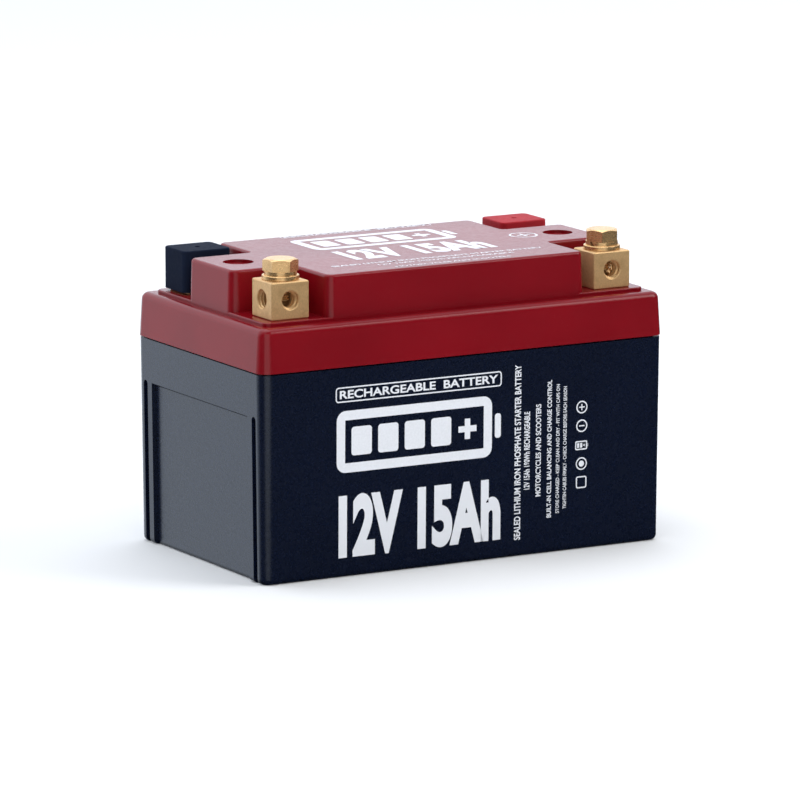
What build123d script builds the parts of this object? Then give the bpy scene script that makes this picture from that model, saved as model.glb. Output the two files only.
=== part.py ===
"""A 12 V lithium motorcycle battery with four terminal blocks, as separate pieces.

Millimetres. +Z is up, +X runs along the length towards the positive end, and -Y is the
printed long side. The origin is the middle of the footprint, on the surface it stands on.
"""

from build123d import *
import math
import os

# ---- Driving dimensions ----------------------------------------------------------------

LENGTH = 150.0                  # over the lid skirt, along X
WIDTH = 87.0                    # over the lid skirt, along Y
TOP_Z = 97.7                    # raised top of the lid
FIT_GAP = 0.3                   # play of the loose inner pieces

# Case
CASE_FOOT = (148.2, 85.3)       # outline at the floor
CASE_DRAFT = 0.565              # degrees, widening upward
CASE_TOP_Z = 68.2
CASE_CORNER = 3.2
CASE_FOOT_FILLET = 1.8
CASE_INSIDE = (140.8, 80.0)
CASE_FLOOR = 2.4
RIM_OUTLINE = (146.2, 83.2)     # upstand that enters the lid
RIM_TOP_Z = 74.2
PANEL_TOP_Z = 53.0              # recessed panel on each end wall
PANEL_DEPTH = 1.45
PANEL_LEDGE = 0.9               # height of the sloped ledge over the panel
RECESS_FOOT_R = 1.3             # rounding where a recess runs out at the floor
FOOT_OVERRUN = 0.02             # the rounding starts this far below the floor
RIB_INNER_Y, RIB_OUTER_Y = 33.0, 35.9
GROOVE_OUTER_Y = 38.6

# Lid
SKIRT_Z = 68.7
LEDGE_Z = 83.0
DECK_Z = 84.1
SKIRT_DRAFT = 3.4
SKIRT_CORNER = 4.0
SKIRT_WALL = 1.8
LID_WALL = 2.3
LEDGE_FILLET = 2.4
RAISED = (95.4, 74.8)           # raised centre, at its top
TAB_END_X, TAB_HALF_WIDTH = 70.2, 14.8
RAISED_DRAFT = 1.7
RAISED_CORNER = 2.6
RAISED_INNER_CORNER = 0.8
RAISED_EDGE_FILLET = 1.1
DIMPLE_X, DIMPLE_R, DIMPLE_DEPTH = 60.0, 5.0, 1.0
SEAL_HEIGHT, SEAL_WIDTH = 0.8, 1.3

# Terminals
BLOCK = (13.6, 13.3, 12.2)
BLOCK_X, BLOCK_Y = 59.9, 28.35
BLOCK_CHAMFER = 0.35
THREAD_R = 3.0                  # M6, plain wall at the nominal radius
TAP_DRILL_R = 2.5               # the drill before the tap
BOLT_CORE_R = 2.385             # the core of a bolt's thread
THREAD_CLEARANCE = 0.06
SIDE_HOLE_Z = 90.3
TOP_HOLE_DEPTH = 10.2
SIDE_THREAD_DEPTH = 3.4         # the drill goes on from there into the top hole
HOLE_CHAMFER = 0.3
SPIGOT_R, SPIGOT_FOOT_Z = 4.0, 75.2
SPIGOT_CLEARANCE = 0.15
RING_R, RING_SECTION_R = 4.7, 0.62
RING_SEAT_R = 5.5
NUT_FLATS, NUT_HEIGHT = 13.0, 4.0
LINK_WIDTH, LINK_THICKNESS = 12.0, 1.5

# Terminal bolts (M6 x 10) with their washers
FLAT_WASHER = (3.2, 6.0, 1.5)   # inner radius, outer radius, thickness
SPRING_WASHER = (3.1, 5.3, 1.3)
SPRING_WASHER_SLIT = 0.8
BOLT_LENGTH = 10.0
HEAD_FLATS, HEAD_HEIGHT = 10.0, 4.0
HEX_TURN = {"front_left_bolt": 34.0, "front_right_bolt": 0.0}

# Caps over the rear blocks
CAP = (17.4, 15.0)
CAP_FOOT_Z, CAP_TOP_Z = 84.9, 98.6
CAP_CORNER, CAP_EDGE = 2.0, 0.5
CAP_CLEARANCE = 0.1
GATE_R, GATE_DEPTH = 0.9, 0.5

# Cells
CELL_R, CELL_LENGTH, CELL_PITCH = 16.5, 137.0, 34.4
CELL_SHOULDER = 1.5
CELL_POLE_R, CELL_POLE = 6.0, 0.5
PAD_THICKNESS = 1.0
HOLDER_WALL, HOLDER_DEPTH = 1.3, 12.0
PLATE_THICKNESS, PLATE_HALF = 0.3, 9.0
SENSE_Y = 13.0                  # where a thin wire meets the ear of a pack tab
INSULATOR_THICKNESS = 0.8
STRAP_X, STRAP_WIDTH, STRAP_THICKNESS = 28.0, 12.0, 0.4

# Management board
TRAY_THICKNESS = 1.2
BOARD = (80.0, 60.0, 1.6)
BOARD_SCREW = (36.0, 26.0)
TRAY_SCREW = (57.5, 8.0)
SCREW_R, SCREW_LENGTH = 1.5, 4.0
SCREW_HEAD_R, SCREW_HEAD = 2.8, 1.4
PILOT_SPARE = 0.3               # how much deeper a screw's hole is than the screw
POST_R = 3.4
LEAD_R, THIN_LEAD_R = 2.0, 0.6
THERMISTOR_X, THERMISTOR_R = 10.0, 1.5
SOCKET_X, SOCKET_PITCH, PIN_COUNT, SOCKET_HEIGHT = -35.0, 2.5, 5, 5.5
SOCKET_DEPTH, SOCKET_WALL, SOCKET_SIDE = 6.0, 1.0, 2.5
PLUG_OUT, PLUG_DEPTH, PLUG_GAP = 4.0, 8.8, 0.1

# Corners, edges and small clearances
RIM_CORNER, CASE_INSIDE_CORNER = 3.0, 2.0
DECK_EDGE, DECK_INSET = 0.4, 0.05
LID_INSIDE_CORNER, LID_POCKET, LID_POCKET_CORNER = 3.1, (143.0, 80.2), 2.0
BAY_EXTRA_WIDTH, BAY_CORNER = 0.3, 1.0
SEAL_INNER_CORNER = 1.7
LINK_CORNER = 2.0
WASHER_EDGE, SLIT_TILT = 0.15, 25
SLIT_TURNS = {"front_left": -60, "front_right": 200}
CROWN_DROP, CROWN_INSET, BOLT_TIP = 0.6, 1.25, 0.5
CAP_INSIDE_CORNER = 0.3
CAN_GROOVE_FROM_END, CAN_GROOVE_OUT, CAN_GROOVE_R = 5.0, 0.3, 0.9
HOLDER_CORNER, HOLDER_SPARE, PAD_CORNER = 2.0, 0.05, 2.0
EAR_FOLD, EAR_HALF_WIDTH, TAB_EAR_OUT = 4.0, 3.0, 1.5
INSULATOR_HALF_WIDTH, INSULATOR_GAP, INSULATOR_SHORT = 37.0, 0.05, 1.0
STRAP_GAP, STRAP_CORNER_LESS = 0.02, 0.01
SCREW_EDGE, SCREW_DRIVE = 0.5, (3.0, 0.7, 1.6)
SCREW_HOLE_SPARE, THERMISTOR_HOLE_R = 0.2, 2.0
TRAY, TRAY_CORNER = (94.0, 66.0), 3.0
TRAY_TONGUE, TRAY_TONGUE_CORNER = (123.0, 22.0), 2.0
BOARD_CORNER = 1.5
TRANSISTOR, TRANSISTOR_EDGE = (6.5, 6.0, 2.3), 0.25
TRANSISTOR_ROW_Y, TRANSISTOR_XS = 9.0, (-15.0, -5.0, 5.0, 15.0)
SPREADER, SPREADER_CORNER, SPREADER_EDGE = (50.0, 30.0, 2.0), 2.0, 0.3
THROUGH = 10.0                  # the length of a cutter that goes right through a plate

# ---- Worked out from the above ---------------------------------------------------------

RAISED_GROW = (TOP_Z - LEDGE_Z) * math.tan(math.radians(RAISED_DRAFT))
DECK_UNDER_Z = DECK_Z - LID_WALL
BLOCK_TOP_Z = DECK_Z + BLOCK[2]
LINK_Z = DECK_UNDER_Z - LINK_THICKNESS
HOLDER_Z = CASE_FLOOR + PAD_THICKNESS
LOW_CELL_Z = HOLDER_Z + HOLDER_WALL + CELL_R
HIGH_CELL_Z = LOW_CELL_Z + CELL_PITCH
HOLDER_TOP_Z = HIGH_CELL_Z + CELL_R + HOLDER_WALL
POLE_Y = CELL_PITCH / 2
CELL_END_X = CELL_LENGTH / 2 + CELL_POLE
PLATE_END_X = CELL_END_X + PLATE_THICKNESS
TRAY_TOP_Z = HOLDER_TOP_Z + TRAY_THICKNESS
BOARD_Z = LINK_Z
BOARD_TOP_Z = BOARD_Z + BOARD[2]
TRANSISTOR_TOP_Z = BOARD_TOP_Z + TRANSISTOR[2]
LEAD_Z = BOARD_Z - LEAD_R
EAR_TOP_Z = HOLDER_TOP_Z + PLATE_THICKNESS
PLUG_Z = BOARD_TOP_Z + SOCKET_HEIGHT / 2
LEFT, RIGHT, FRONT, REAR = -1, 1, -1, 1
CORNERS = {
    "front_left": (LEFT, FRONT),
    "front_right": (RIGHT, FRONT),
    "rear_left": (LEFT, REAR),
    "rear_right": (RIGHT, REAR),
}


# ---- Helpers ---------------------------------------------------------------------------

def slab(outline, bottom, top, corner=0.0, taper=0.0):
    """A plate or block with rounded corners, centred on the Z axis."""
    shape = RectangleRounded(*outline, corner) if corner else Rectangle(*outline)
    return extrude(Pos(0, 0, bottom) * shape, top - bottom, taper=taper)


def box_between(low, high):
    size = [h - l for l, h in zip(low, high)]
    centre = [(l + h) / 2 for l, h in zip(low, high)]
    return Pos(*centre) * Box(*size)


def ring(inner_r, outer_r, bottom, top):
    disc = Circle(outer_r) - Circle(inner_r)
    return extrude(Pos(0, 0, bottom) * disc, top - bottom)


def hexagon(flats, bottom, height, turn=0.0):
    shape = RegularPolygon(flats / math.sqrt(3), 6, rotation=turn)
    return extrude(Pos(0, 0, bottom) * shape, height)


def edges_at(shape, z):
    """The edges of a shape that lie whole at one height."""
    return shape.edges().filter_by_position(Axis.Z, z - 0.01, z + 0.01)


def group(pieces):
    """Separate solids that share one node."""
    return Compound(children=[piece.solid() for piece in pieces])


def block_corners():
    return [(sx * BLOCK_X, sy * BLOCK_Y) for sx, sy in CORNERS.values()]


# ---- Case ------------------------------------------------------------------------------

def recess_profile(*upper):
    """The section of a recess from its rounded foot up to the given points, floor at x = 0."""
    foot = (-RECESS_FOOT_R, -FOOT_OVERRUN)
    arc_end = (0, RECESS_FOOT_R - FOOT_OVERRUN)
    bend = (-RECESS_FOOT_R * (1 - math.sqrt(0.5)), RECESS_FOOT_R * (1 - math.sqrt(0.5)) - FOOT_OVERRUN)
    below = -1
    outline = ThreePointArc(foot, bend, arc_end)
    outline += Polyline(arc_end, (0, PANEL_TOP_Z), *upper, (upper[-1][0], below),
                        (-RECESS_FOOT_R, below), foot)
    return make_face(Plane.XZ * outline)


def end_wall_cutters(side):
    """What is cut from one end wall: the panel under its sloped ledge, and two grooves."""
    reach = 3 * PANEL_DEPTH
    slope_x = PANEL_DEPTH + 0.2
    slope_z = PANEL_TOP_Z + PANEL_LEDGE * slope_x / PANEL_DEPTH
    panel = recess_profile((slope_x, slope_z), (reach, slope_z))
    cutters = [extrude(panel, RIB_INNER_Y, both=True)]
    half_width = (GROOVE_OUTER_Y - RIB_OUTER_Y) / 2
    for row in (FRONT, REAR):
        lane = extrude(recess_profile((reach, PANEL_TOP_Z)), half_width, both=True)
        end = Pos(reach / 2, 0, PANEL_TOP_Z) * Rotation(0, 90, 0) * Cylinder(half_width, reach)
        cutters.append(Pos(0, row * (RIB_OUTER_Y + half_width), 0) * (lane + end))
    floor = Pos(CASE_FOOT[0] / 2 - PANEL_DEPTH, 0, 0) * Rotation(0, CASE_DRAFT, 0)
    cutters = [floor * cutter for cutter in cutters]
    return cutters if side == RIGHT else [mirror(cutter, Plane.YZ) for cutter in cutters]


def case():
    shell = slab(CASE_FOOT, 0, CASE_TOP_Z, CASE_CORNER, -CASE_DRAFT)
    shell = fillet(edges_at(shell, 0), CASE_FOOT_FILLET)
    for side in (LEFT, RIGHT):
        for cutter in end_wall_cutters(side):
            shell -= cutter
    shell += slab(RIM_OUTLINE, CASE_TOP_Z, RIM_TOP_Z, RIM_CORNER)
    return shell - slab(CASE_INSIDE, CASE_FLOOR, RIM_TOP_Z + 1, CASE_INSIDE_CORNER)


# ---- Lid -------------------------------------------------------------------------------

def raised_outline(grow, outer_corner, inner_corner):
    """The raised centre with its two end tabs in plan, offset outward by grow."""
    half_x, half_y = RAISED[0] / 2 + grow, RAISED[1] / 2 + grow
    tab_x, tab_y = TAB_END_X + grow, TAB_HALF_WIDTH + grow
    outline = Rectangle(2 * half_x, 2 * half_y) + Rectangle(2 * tab_x, 2 * tab_y)
    inner = [v for v in outline.vertices() if abs(v.X) < half_x + 1 and abs(v.Y) < tab_y + 1]
    outline = fillet(inner, inner_corner)
    outer = [v for v in outline.vertices() if abs(v.X) > tab_x - 0.1 or abs(v.Y) > half_y - 0.1]
    return fillet(outer, outer_corner)


def raised_block():
    """The raised centre and tabs, from the ledge to the top, with drafted sides."""
    height = TOP_Z - LEDGE_Z
    foot = raised_outline(RAISED_GROW, RAISED_CORNER + RAISED_GROW, RAISED_INNER_CORNER)
    block = extrude(Pos(0, 0, LEDGE_Z) * foot, height, taper=RAISED_DRAFT)
    return fillet(edges_at(block, TOP_Z), RAISED_EDGE_FILLET)


def lid_outside():
    skirt = slab((LENGTH, WIDTH), SKIRT_Z, LEDGE_Z, SKIRT_CORNER, SKIRT_DRAFT)
    skirt = fillet(edges_at(skirt, LEDGE_Z), LEDGE_FILLET)
    grow = RAISED_GROW - DECK_INSET
    deck_size = (2 * (TAB_END_X + grow), RAISED[1] + 2 * grow)
    deck = slab(deck_size, LEDGE_Z - 1, DECK_Z, RAISED_CORNER)
    deck = fillet(edges_at(deck, DECK_Z), DECK_EDGE)
    return skirt + deck + raised_block()


def lid():
    body = lid_outside()
    skirt_inside = (LENGTH - 2 * SKIRT_WALL, WIDTH - 2 * SKIRT_WALL)
    body -= slab(skirt_inside, SKIRT_Z - 1, RIM_TOP_Z + SEAL_HEIGHT, LID_INSIDE_CORNER)
    body -= slab(LID_POCKET, RIM_TOP_Z, DECK_UNDER_Z, LID_POCKET_CORNER)
    roof_z = TOP_Z - LID_WALL
    bay = raised_outline(BAY_EXTRA_WIDTH - LID_WALL, BAY_CORNER, BAY_CORNER)
    body -= extrude(Pos(0, 0, DECK_UNDER_Z - 1) * bay, roof_z - DECK_UNDER_Z + 1)
    for side in (LEFT, RIGHT):
        dimple = Cylinder(DIMPLE_R, 2 * DIMPLE_DEPTH)
        body -= Pos(side * DIMPLE_X, 0, TOP_Z) * dimple
    for x, y in block_corners():
        hole_r = SPIGOT_R + SPIGOT_CLEARANCE
        body -= Pos(x, y, DECK_Z - LID_WALL / 2) * Cylinder(hole_r, LID_WALL + 2)
        body -= Pos(x, y, DECK_Z) * Cylinder(RING_SEAT_R, 4 * RING_SECTION_R)
    return body


def lid_seal():
    outer = RIM_OUTLINE
    inner = tuple(v - 2 * SEAL_WIDTH for v in outer)
    bead = slab(outer, RIM_TOP_Z, RIM_TOP_Z + SEAL_HEIGHT, RIM_CORNER)
    return bead - slab(inner, RIM_TOP_Z - 1, RIM_TOP_Z + 2, SEAL_INNER_CORNER)


# ---- Terminals -------------------------------------------------------------------------

def threaded_hole(depth, drill_depth=0):
    """A hole along +Z that ends at z = 0, with a chamfered mouth and, if deeper, the bare drill."""
    hole = Pos(0, 0, -depth / 2) * Cylinder(THREAD_R, depth)
    mouth_r = THREAD_R + HOLE_CHAMFER
    hole += Pos(0, 0, -HOLE_CHAMFER / 2) * Cone(THREAD_R, mouth_r, HOLE_CHAMFER)
    if drill_depth:
        hole += Pos(0, 0, -drill_depth / 2) * Cylinder(TAP_DRILL_R, drill_depth)
    return hole


def terminal(side, row):
    """A brass block with threaded holes in its top and its two outward faces."""
    block = slab(BLOCK[:2], DECK_Z, BLOCK_TOP_Z)
    block = chamfer(block.edges(), BLOCK_CHAMFER)
    spigot_top = DECK_Z + 1
    block += Pos(0, 0, (SPIGOT_FOOT_Z + spigot_top) / 2) * Cylinder(
        SPIGOT_R, spigot_top - SPIGOT_FOOT_Z)
    between_side_holes = math.degrees(math.atan2(row, side))
    block -= Pos(0, 0, BLOCK_TOP_Z) * Rotation(0, 0, between_side_holes) * threaded_hole(
        TOP_HOLE_DEPTH)
    block -= Pos(side * BLOCK[0] / 2, 0, SIDE_HOLE_Z) * Rotation(0, side * 90, 0) * threaded_hole(
        SIDE_THREAD_DEPTH, BLOCK[0] / 2)
    block -= Pos(0, row * BLOCK[1] / 2, SIDE_HOLE_Z) * Rotation(-row * 90, 0, 0) * threaded_hole(
        SIDE_THREAD_DEPTH, BLOCK[1] / 2)
    return Pos(side * BLOCK_X, row * BLOCK_Y, 0) * block


def terminal_seals():
    torus = Torus(RING_R, RING_SECTION_R)
    z = DECK_Z - RING_SECTION_R
    return group([Pos(x, y, z) * torus for x, y in block_corners()])


def terminal_nuts():
    nut = hexagon(NUT_FLATS, LINK_Z - NUT_HEIGHT, NUT_HEIGHT, 30)
    nut -= Pos(0, 0, LINK_Z) * Cylinder(SPIGOT_R, 4 * NUT_HEIGHT)
    return group([Pos(x, y, 0) * nut for x, y in block_corners()])


def terminal_link(side):
    """A copper bar under the deck that joins the front and rear block of one side."""
    half_y = BLOCK_Y + LINK_WIDTH / 2
    bar = slab((LINK_WIDTH, 2 * half_y), LINK_Z, DECK_UNDER_Z, LINK_CORNER)
    for row in (FRONT, REAR):
        bar -= Pos(0, row * BLOCK_Y, LINK_Z) * Cylinder(SPIGOT_R + SPIGOT_CLEARANCE, THROUGH)
    return Pos(side * BLOCK_X, 0, 0) * bar


# ---- Terminal bolts --------------------------------------------------------------------

def flat_washer():
    inner_r, outer_r, thickness = FLAT_WASHER
    washer = ring(inner_r, outer_r, BLOCK_TOP_Z, BLOCK_TOP_Z + thickness)
    return chamfer(washer.edges().filter_by(GeomType.CIRCLE).sort_by(SortBy.RADIUS)[-2:], WASHER_EDGE)


def spring_washer(slit_turn):
    inner_r, outer_r, thickness = SPRING_WASHER
    bottom = BLOCK_TOP_Z + FLAT_WASHER[2]
    washer = ring(inner_r, outer_r, bottom, bottom + thickness)
    slit = Pos(outer_r, 0, bottom + thickness / 2) * Rotation(SLIT_TILT, 0, 0)
    slit *= Box(2 * (outer_r - inner_r) + 1, SPRING_WASHER_SLIT, 3 * thickness)
    return washer - Rotation(0, 0, slit_turn) * slit


def bolt(turn):
    head_z = BLOCK_TOP_Z + FLAT_WASHER[2] + SPRING_WASHER[2]
    corner_r = HEAD_FLATS / math.sqrt(3)
    head = hexagon(HEAD_FLATS, head_z, HEAD_HEIGHT, turn)
    crown = Pos(0, 0, head_z + HEAD_HEIGHT / 2) * Cylinder(corner_r, HEAD_HEIGHT)
    crown = chamfer(edges_at(crown, head_z + HEAD_HEIGHT), CROWN_DROP, CROWN_INSET)
    shank = Pos(0, 0, head_z - BOLT_LENGTH / 2)
    shank *= Cylinder(BOLT_CORE_R, BOLT_LENGTH)
    return (head & crown) + chamfer(edges_at(shank, head_z - BOLT_LENGTH), BOLT_TIP)


# ---- Caps ------------------------------------------------------------------------------

def rear_cap(side):
    """A soft five-sided cap that hugs a rear block and rests on its top."""
    cap = slab(CAP, CAP_FOOT_Z, CAP_TOP_Z, CAP_CORNER)
    cap = fillet(edges_at(cap, CAP_TOP_Z), CAP_EDGE)
    inside = [v + 2 * CAP_CLEARANCE for v in BLOCK[:2]]
    cap -= slab(inside, CAP_FOOT_Z - 1, BLOCK_TOP_Z, CAP_INSIDE_CORNER)
    cap -= Pos(0, 0, CAP_TOP_Z) * Cylinder(GATE_R, 2 * GATE_DEPTH)
    return Pos(side * BLOCK_X, BLOCK_Y, 0) * cap


# ---- Cells and what holds them ---------------------------------------------------------

CELL_PLACES = {                 # row, level and the side its positive pole faces
    "cell_1": (FRONT, HIGH_CELL_Z, RIGHT),
    "cell_2": (FRONT, LOW_CELL_Z, LEFT),
    "cell_3": (REAR, LOW_CELL_Z, RIGHT),
    "cell_4": (REAR, HIGH_CELL_Z, LEFT),
}


def cell(row, level, positive_side):
    can = Cylinder(CELL_R, CELL_LENGTH)
    can = fillet(can.edges(), CELL_SHOULDER)
    pole = Cylinder(CELL_POLE_R, CELL_LENGTH + 2 * CELL_POLE)
    groove = Pos(0, 0, CELL_LENGTH / 2 - CAN_GROOVE_FROM_END) * Torus(
        CELL_R + CAN_GROOVE_OUT, CAN_GROOVE_R)
    whole = can + pole - groove
    return Pos(0, row * CELL_PITCH / 2, level) * Rotation(0, positive_side * 90, 0) * whole


def cell_centres():
    return [(row * CELL_PITCH / 2, z) for row in (FRONT, REAR)
            for z in (LOW_CELL_Z, HIGH_CELL_Z)]


def cell_holder(side):
    """A moulded end bracket with a socket for the end of each cell."""
    outer_x = CELL_LENGTH / 2
    half_y = CASE_INSIDE[1] / 2 - FIT_GAP
    holder = box_between((outer_x - HOLDER_DEPTH, -half_y, HOLDER_Z), (outer_x, half_y, HOLDER_TOP_Z))
    long_edges = holder.edges().filter_by(Axis.X)
    holder = fillet(long_edges, HOLDER_CORNER)
    for y, z in cell_centres():
        socket = Rotation(0, 90, 0) * Cylinder(CELL_R + HOLDER_SPARE, 4 * HOLDER_DEPTH)
        holder -= Pos(outer_x, y, z) * socket
    for sy in (FRONT, REAR):
        depth = SCREW_LENGTH - TRAY_THICKNESS + PILOT_SPARE
        pilot = Cylinder(SCREW_R, 2 * depth)
        holder -= Pos(TRAY_SCREW[0], sy * TRAY_SCREW[1], HOLDER_TOP_Z) * pilot
    return holder if side == RIGHT else mirror(holder, Plane.YZ)


def end_plate(side, *rectangles):
    """A nickel plate over the cell poles: rectangles given as (y0, z0, y1, z1)."""
    plate = None
    for y0, z0, y1, z1 in rectangles:
        piece = box_between((CELL_END_X, y0, z0), (PLATE_END_X, y1, z1))
        plate = piece if plate is None else plate + piece
    return plate if side == RIGHT else mirror(plate, Plane.YZ)


def solder_ear(side, low_y, high_y):
    """The riser of an end plate with its ear, folded over the top of the cell holder."""
    riser = box_between((CELL_END_X, low_y, HIGH_CELL_Z), (PLATE_END_X, high_y, EAR_TOP_Z))
    fold_x = CELL_LENGTH / 2 - EAR_FOLD
    fold = box_between((fold_x, low_y, HOLDER_TOP_Z), (PLATE_END_X, high_y, EAR_TOP_Z))
    ear = riser + fold
    return ear if side == RIGHT else mirror(ear, Plane.YZ)


def pack_tab(row):
    """The plate on the free pole of the pack, at the left end. Its ear takes two wires."""
    y = row * POLE_Y
    face = (y - PLATE_HALF, HIGH_CELL_Z - PLATE_HALF, y + PLATE_HALF, HIGH_CELL_Z + PLATE_HALF)
    ear_y = sorted((row * SENSE_Y - row * TAB_EAR_OUT, y + row * EAR_HALF_WIDTH))
    return end_plate(LEFT, face) + solder_ear(LEFT, *ear_y)


def upright_link(row):
    """The plate that joins the lower and the upper cell of one row, at the right end."""
    y = row * POLE_Y
    face = (y - PLATE_HALF, LOW_CELL_Z - PLATE_HALF, y + PLATE_HALF, HIGH_CELL_Z + PLATE_HALF)
    return end_plate(RIGHT, face) + solder_ear(RIGHT, y - EAR_HALF_WIDTH, y + EAR_HALF_WIDTH)


def cross_link():
    """The plate that joins the two lower cells, with a tongue up the middle."""
    low, high = LOW_CELL_Z - PLATE_HALF, LOW_CELL_Z + PLATE_HALF
    face = (-POLE_Y - PLATE_HALF, low, POLE_Y + PLATE_HALF, high)
    tongue = (-EAR_HALF_WIDTH, LOW_CELL_Z, EAR_HALF_WIDTH, HIGH_CELL_Z)
    return end_plate(LEFT, face, tongue) + solder_ear(LEFT, -EAR_HALF_WIDTH, EAR_HALF_WIDTH)


def end_insulator(side):
    middle_x = side * (PLATE_END_X + INSULATOR_THICKNESS / 2 + INSULATOR_GAP)
    height = HOLDER_TOP_Z - HOLDER_Z - INSULATOR_SHORT
    sheet = Box(INSULATOR_THICKNESS, 2 * INSULATOR_HALF_WIDTH, height)
    return Pos(middle_x, 0, (HOLDER_Z + HOLDER_TOP_Z) / 2) * sheet


def base_pad():
    outline = [v - 2 * FIT_GAP for v in CASE_INSIDE]
    return slab(outline, CASE_FLOOR, HOLDER_Z, PAD_CORNER)


def cell_straps():
    """Two bands pulled round the bundle of cells."""
    straps = []
    for side in (LEFT, RIGHT):
        sections = []
        for r in (CELL_R + STRAP_GAP, CELL_R + STRAP_THICKNESS):
            across = CELL_PITCH + 2 * r
            sections.append(RectangleRounded(across, across, r - STRAP_CORNER_LESS))
        band = extrude(sections[1] - sections[0], STRAP_WIDTH / 2, both=True)
        middle_z = (LOW_CELL_Z + HIGH_CELL_Z) / 2
        straps.append(Pos(side * STRAP_X, 0, middle_z) * Rotation(0, 90, 0) * band)
    return group(straps)


# ---- Management board ------------------------------------------------------------------

def screw(x, y, under_head_z):
    head = Pos(x, y, under_head_z + SCREW_HEAD / 2) * Cylinder(SCREW_HEAD_R, SCREW_HEAD)
    head = chamfer(edges_at(head, under_head_z + SCREW_HEAD), SCREW_EDGE)
    length, width, depth = SCREW_DRIVE
    cross = Box(length, width, depth) + Box(width, length, depth)
    drive = Pos(x, y, under_head_z + SCREW_HEAD) * cross
    shank = Pos(x, y, under_head_z - SCREW_LENGTH / 2)
    return head - drive + shank * Cylinder(SCREW_R - THREAD_CLEARANCE, SCREW_LENGTH)


def screw_places(half_x, half_y):
    return [(sx * half_x, sy * half_y) for sx, sy in CORNERS.values()]


def board_tray():
    """A plate on the cell holders, with four posts that carry the board."""
    tray = slab(TRAY, HOLDER_TOP_Z, TRAY_TOP_Z, TRAY_CORNER)
    tray += slab(TRAY_TONGUE, HOLDER_TOP_Z, TRAY_TOP_Z, TRAY_TONGUE_CORNER)
    for x, y in screw_places(*BOARD_SCREW):
        tray += Pos(x, y, (HOLDER_TOP_Z + BOARD_Z) / 2) * Cylinder(POST_R, BOARD_Z - HOLDER_TOP_Z)
        depth = SCREW_LENGTH - BOARD[2] + PILOT_SPARE
        tray -= Pos(x, y, BOARD_Z) * Cylinder(SCREW_R, 2 * depth)
    for x, y in screw_places(*TRAY_SCREW):
        tray -= Pos(x, y, TRAY_TOP_Z) * Cylinder(SCREW_R + SCREW_HOLE_SPARE, THROUGH)
    tray -= Pos(THERMISTOR_X, 0, TRAY_TOP_Z) * Cylinder(THERMISTOR_HOLE_R, THROUGH)
    return tray


def management_board():
    board = slab(BOARD[:2], BOARD_Z, BOARD_TOP_Z, BOARD_CORNER)
    for x, y in screw_places(*BOARD_SCREW):
        board -= Pos(x, y, BOARD_Z) * Cylinder(SCREW_R + SCREW_HOLE_SPARE, THROUGH)
    return board


def board_transistors():
    package = slab(TRANSISTOR[:2], BOARD_TOP_Z, TRANSISTOR_TOP_Z)
    package = chamfer(edges_at(package, TRANSISTOR_TOP_Z), TRANSISTOR_EDGE)
    places = [(x, sy * TRANSISTOR_ROW_Y) for x in TRANSISTOR_XS for sy in (FRONT, REAR)]
    return group([Pos(x, y, 0) * package for x, y in places])


def heat_spreader():
    top_z = TRANSISTOR_TOP_Z + SPREADER[2]
    plate = slab(SPREADER[:2], TRANSISTOR_TOP_Z, top_z, SPREADER_CORNER)
    return chamfer(edges_at(plate, top_z), SPREADER_EDGE)


def balance_socket():
    """The five-way socket on the board's left edge, open to -X."""
    half = SOCKET_PITCH * (PIN_COUNT - 1) / 2 + SOCKET_SIDE
    back_x, top_z = SOCKET_X + SOCKET_DEPTH, BOARD_TOP_Z + SOCKET_HEIGHT
    wall = SOCKET_WALL
    socket = box_between((SOCKET_X, -half, BOARD_TOP_Z), (back_x, half, top_z))
    mouth = box_between(
        (SOCKET_X - 1, wall - half, BOARD_TOP_Z + wall), (back_x - wall, half - wall, top_z - wall))
    return socket - mouth


def balance_plug():
    """The plug in that socket, with a little air all round."""
    inset = SOCKET_WALL + PLUG_GAP
    half = SOCKET_PITCH * (PIN_COUNT - 1) / 2 + SOCKET_SIDE - inset
    outer_x = SOCKET_X - PLUG_OUT
    return box_between((outer_x, -half, BOARD_TOP_Z + inset),
                       (outer_x + PLUG_DEPTH, half, BOARD_TOP_Z + SOCKET_HEIGHT - inset))


# ---- Leads -----------------------------------------------------------------------------

def bend_radii(points):
    """The largest arc that each corner of a route leaves room for."""
    vectors = [Vector(*b) - Vector(*a) for a, b in zip(points, points[1:])]
    radii = []
    for before, after in zip(vectors, vectors[1:]):
        turn = math.radians(before.get_angle(after))
        radii.append(0.45 * min(before.length, after.length) / math.tan(turn / 2))
    return radii


def lead(radius, *points):
    """An insulated wire along straight runs joined by tangent arcs."""
    radii = bend_radii(points)
    path = FilletPolyline(*points, radius=radii)
    wire = sweep(Plane(path @ 0, z_dir=path % 0) * Circle(radius), path=path)
    print("lead, radius", radius, "bends", [round(r, 1) for r in radii],
          "volume over section times length",
          round(wire.volume / (math.pi * radius**2 * path.length), 4))
    return wire


def positive_lead():
    """From the pack's positive tab at the left end to the positive link at the right."""
    y, low, high = POLE_Y, EAR_TOP_Z + LEAD_R, LEAD_Z - 0.9
    return lead(LEAD_R, (-67.5, y, low), (-59, y, low), (-49.5, y, high), (-32, y, high + 0.1),
                (0, y, high), (32, y, high + 0.1), (50, y, LEAD_Z), (64, y, LEAD_Z))


def negative_lead():
    """From the pack's negative tab to the left part of the management board."""
    y, low = -POLE_Y, EAR_TOP_Z + LEAD_R
    return lead(LEAD_R, (-67.5, y, low), (-57, y, low), (-45, y, LEAD_Z), (-33, y, LEAD_Z))


def output_lead():
    """From the management board to the negative link."""
    y = -8.5
    start_x, end_x = -31, -65
    wire = Rotation(0, 90, 0) * Cylinder(LEAD_R, start_x - end_x)
    return Pos((start_x + end_x) / 2, y, LEAD_Z) * wire


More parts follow.
